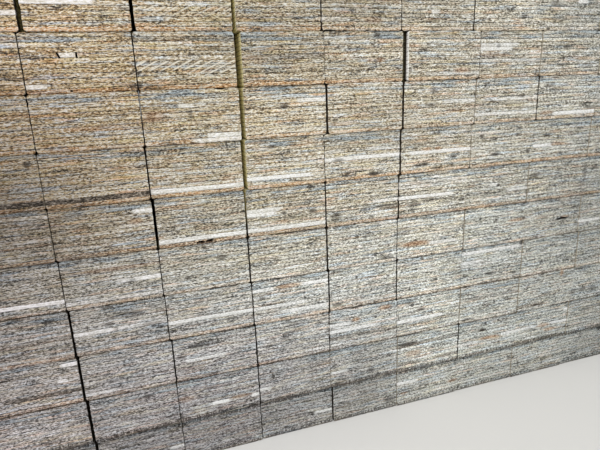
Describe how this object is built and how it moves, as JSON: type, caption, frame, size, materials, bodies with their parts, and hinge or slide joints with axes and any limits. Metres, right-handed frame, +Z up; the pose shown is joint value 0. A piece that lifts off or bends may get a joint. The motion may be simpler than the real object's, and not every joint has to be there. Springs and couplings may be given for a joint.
{
  "type": "stack of laminated timber beams",
  "caption": "Long stack of laminated veneer lumber beams laid flat side by side in close layers, square-cut ends flush, with a few torn veneers.",
  "frame": {"origin": "middle of the stack's footprint, on the floor it lies on", "axes": "+Z up through the layers, +Y along the beams away from the front ends, +X to the right as seen from the front"},
  "size_m": [0.5778, 2.403, 0.396],
  "materials": {
    "laminated_veneer_lumber": "matte"
  },
  "bodies": {
    "root": {"beam_layer_01": "laminated_veneer_lumber", "beam_layer_02": "laminated_veneer_lumber", "beam_layer_03": "laminated_veneer_lumber", "beam_layer_04": "laminated_veneer_lumber", "beam_layer_05": "laminated_veneer_lumber", "beam_layer_06": "laminated_veneer_lumber", "beam_layer_07": "laminated_veneer_lumber", "beam_layer_08": "laminated_veneer_lumber", "beam_layer_09": "laminated_veneer_lumber", "beam_layer_10": "laminated_veneer_lumber", "beam_layer_11": "laminated_veneer_lumber"}
  },
  "joints": []
}
